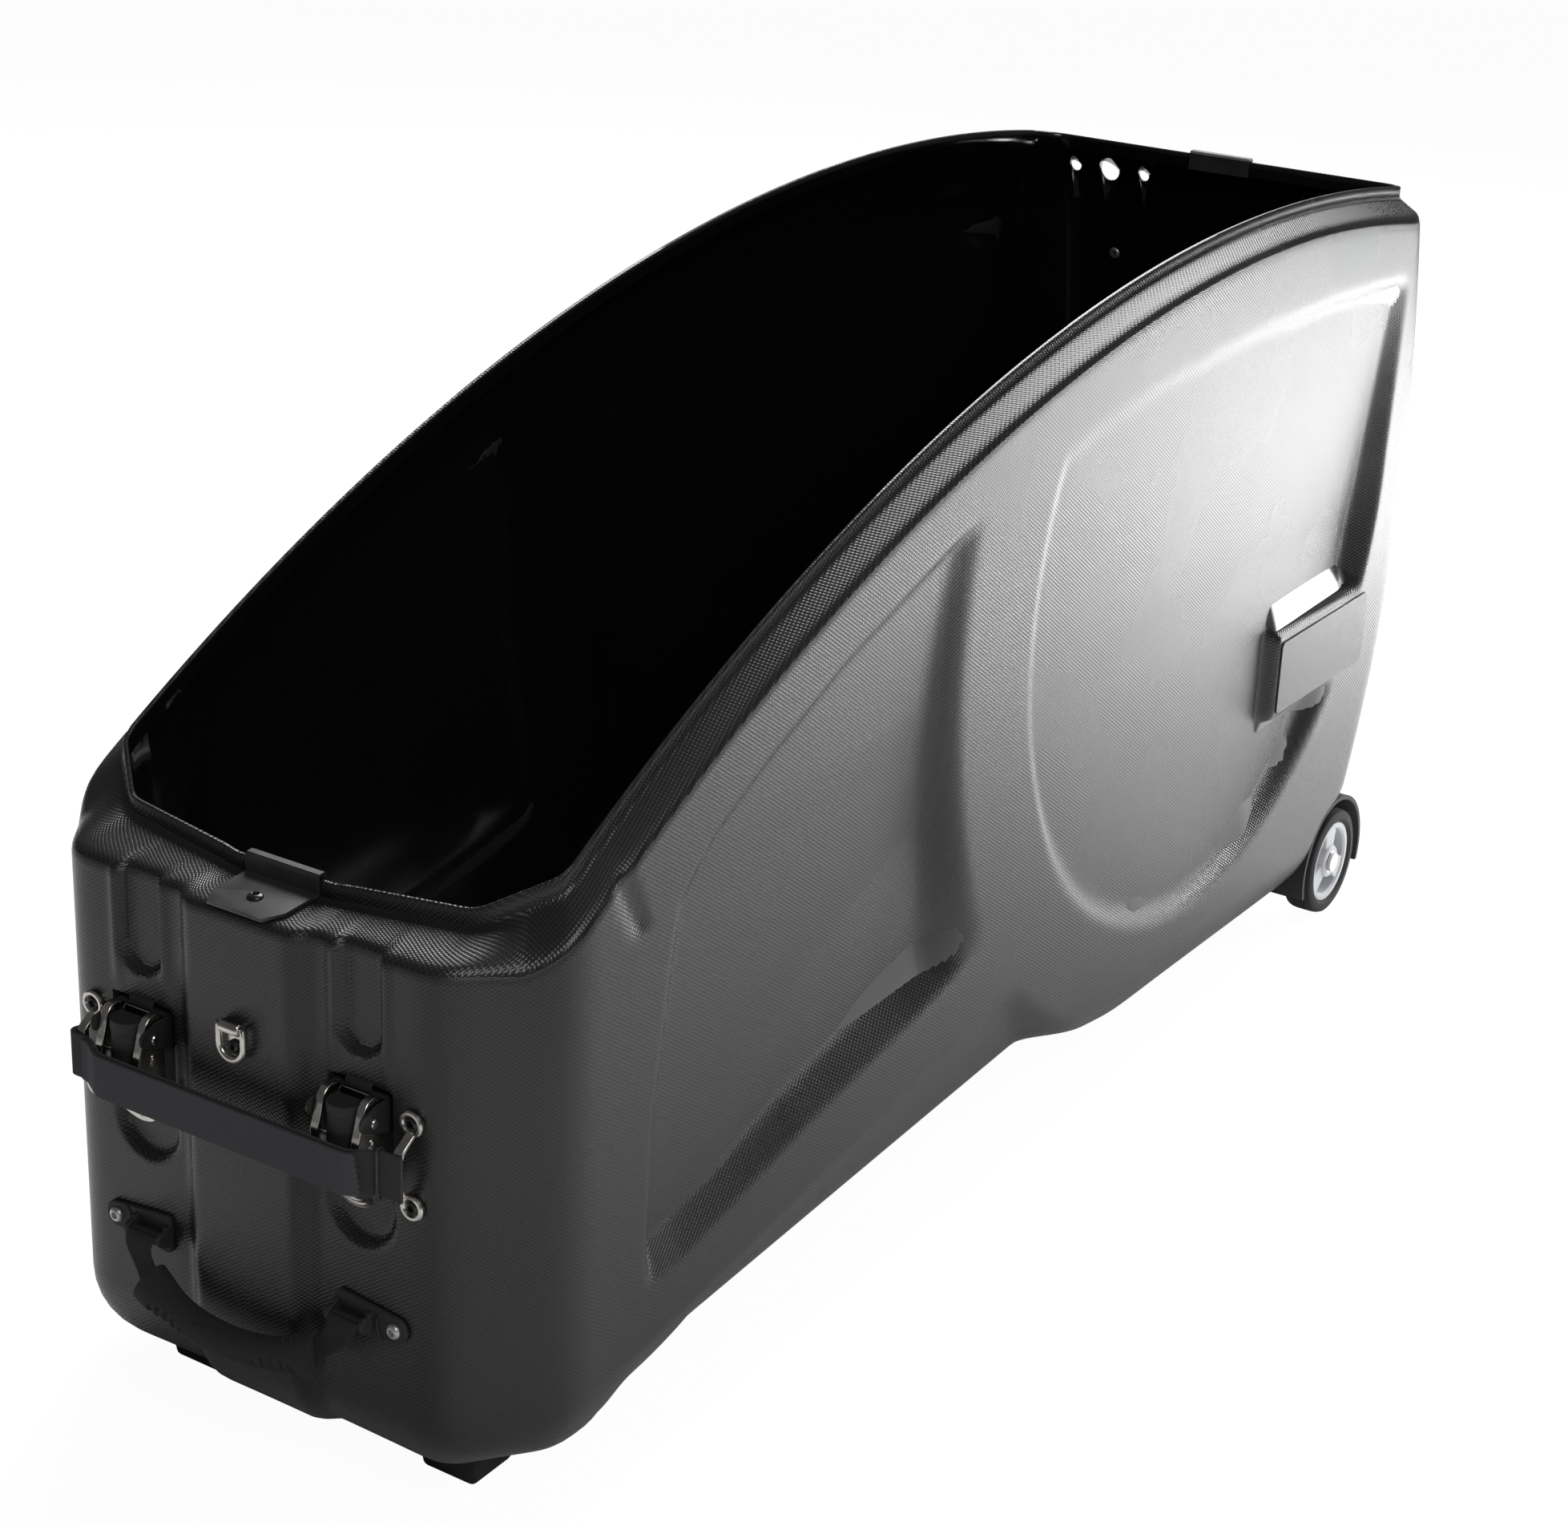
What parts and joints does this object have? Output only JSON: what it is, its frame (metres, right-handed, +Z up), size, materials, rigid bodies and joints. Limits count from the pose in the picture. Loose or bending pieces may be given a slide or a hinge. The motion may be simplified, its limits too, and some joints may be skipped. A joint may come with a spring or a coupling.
{
  "type": "bike travel case",
  "caption": "Open lower half of a hard-shell bicycle travel case with arched rim, pressed side panels, rear wheels, front latches, strap, carry handle and floor stand.",
  "frame": {"origin": "floor level under the middle of the case's box", "axes": "+X from the latch end to the wheel end, +Z up, -Y is the side that the picture shows"},
  "size_m": [1.3955, 0.4112, 0.695],
  "materials": {
    "case_abs": "embossed semi-gloss moulded sheet",
    "foot_rubber": "matt moulded rubber",
    "tyre_rubber": "matt black tyre",
    "hub_plastic": "light grey moulded plastic",
    "black_plastic": "fine-grained black plastic",
    "nickel": "nickel plated",
    "screw_steel": "bright steel",
    "latch_black": "black powder coat",
    "clip_steel": "dark grey paint on sheet steel",
    "strap_weave": "woven hook-and-loop strap",
    "webbing": "black nylon webbing",
    "grip_rubber": "soft black grip",
    "aluminium": "brushed extrusion",
    "pad_rubber": "soft pad",
    "badge_grey": "plain satin plate"
  },
  "bodies": {
    "case": {"case_shell": "case_abs", "front_feet": "foot_rubber", "foot_screws": "screw_steel", "latch_rivets": "screw_steel", "strap_loop_screws": "screw_steel", "d_ring_clip": "nickel", "d_ring_screw": "screw_steel", "handle_screws": "screw_steel", "front_rim_clip": "clip_steel", "rear_rim_clip": "clip_steel", "rim_clip_screw": "screw_steel", "rear_wall_bolt": "screw_steel", "floor_beam": "aluminium", "beam_bolts": "screw_steel", "wheel_liner_left": "black_plastic", "wheel_liner_right": "black_plastic", "wheel_axle_left": "screw_steel", "wheel_axle_right": "screw_steel", "axle_nut_left": "screw_steel", "axle_nut_right": "screw_steel", "latch_base_left": "latch_black", "latch_base_right": "latch_black", "latch_pin_left": "screw_steel", "latch_pin_right": "screw_steel", "strap_loop_left": "nickel", "strap_loop_right": "nickel", "handle_bracket_left": "black_plastic", "handle_bracket_right": "black_plastic", "side_badge_left": "badge_grey", "side_badge_right": "badge_grey"},
    "strap": {"latch_strap": "strap_weave", "strap_ring": "latch_black"},
    "d_ring": {"d_ring": "nickel"},
    "handle": {"handle_grip": "grip_rubber", "handle_webbing": "webbing"},
    "fork_mount": {"fork_block": "aluminium", "fork_skewer": "screw_steel", "skewer_nut": "aluminium"},
    "skewer_cam": {"skewer_lever": "aluminium"},
    "cradle": {"cradle_block": "black_plastic", "cradle_pad": "pad_rubber"},
    "wheel_left": {"wheel_hub_left": "hub_plastic", "wheel_tyre_left": "tyre_rubber", "wheel_bearings_left": "screw_steel"},
    "lever_left": {"latch_lever_left": "nickel", "release_pin_left": "screw_steel", "latch_spring_left": "screw_steel"},
    "release_left": {"latch_release_left": "black_plastic"},
    "wheel_right": {"wheel_hub_right": "hub_plastic", "wheel_tyre_right": "tyre_rubber", "wheel_bearings_right": "screw_steel"},
    "lever_right": {"latch_lever_right": "nickel", "release_pin_right": "screw_steel", "latch_spring_right": "screw_steel"},
    "release_right": {"latch_release_right": "black_plastic"}
  },
  "joints": [
    {"name": "wheel_left_spin", "type": "hinge", "parent": "case", "child": "wheel_left", "pos_m": [0.59241, 0.19, 0.05], "axis": [0, 1, 0], "continuous": true},
    {"name": "wheel_right_spin", "type": "hinge", "parent": "case", "child": "wheel_right", "pos_m": [0.59241, -0.19, 0.05], "axis": [0, 1, 0], "continuous": true},
    {"name": "strap_swing", "type": "hinge", "parent": "case", "child": "strap", "pos_m": [-0.66859, 0.132, 0.267], "axis": [0, 0, -1], "range_deg": [0, 150]},
    {"name": "lever_left_swing", "type": "hinge", "parent": "case", "child": "lever_left", "pos_m": [-0.66619, 0.09, 0.294], "axis": [0, 1, 0], "range_deg": [0, 60]},
    {"name": "release_left_press", "type": "hinge", "parent": "lever_left", "child": "release_left", "pos_m": [-0.66659, 0.09, 0.276], "axis": [0, 1, 0], "range_deg": [0, 8], "stiffness_Nm_per_rad": 0.02},
    {"name": "lever_right_swing", "type": "hinge", "parent": "case", "child": "lever_right", "pos_m": [-0.66619, -0.09, 0.294], "axis": [0, 1, 0], "range_deg": [0, 60]},
    {"name": "release_right_press", "type": "hinge", "parent": "lever_right", "child": "release_right", "pos_m": [-0.66659, -0.09, 0.276], "axis": [0, 1, 0], "range_deg": [0, 8], "stiffness_Nm_per_rad": 0.02},
    {"name": "handle_swing", "type": "hinge", "parent": "case", "child": "handle", "pos_m": [-0.66309, 0, 0.146], "axis": [0, 1, 0], "range_deg": [-8, 100]},
    {"name": "d_ring_swing", "type": "hinge", "parent": "case", "child": "d_ring", "pos_m": [-0.66909, 0, 0.325], "axis": [0, 1, 0], "range_deg": [0, 120]},
    {"name": "fork_slide", "type": "slide", "parent": "case", "child": "fork_mount", "axis": [1, 0, 0], "range_m": [-0.03, 0.06]},
    {"name": "skewer_cam_turn", "type": "hinge", "parent": "fork_mount", "child": "skewer_cam", "pos_m": [-0.36359, 0.06, 0.138], "axis": [1, 0, 0], "range_deg": [0, 170]},
    {"name": "cradle_slide", "type": "slide", "parent": "case", "child": "cradle", "axis": [1, 0, 0], "range_m": [-0.06, 0.03]}
  ],
  "couplings": [
    {"joint": "lever_left_swing", "follows": "strap_swing", "ratio": 0.4},
    {"joint": "lever_right_swing", "follows": "strap_swing", "ratio": 0.4}
  ]
}
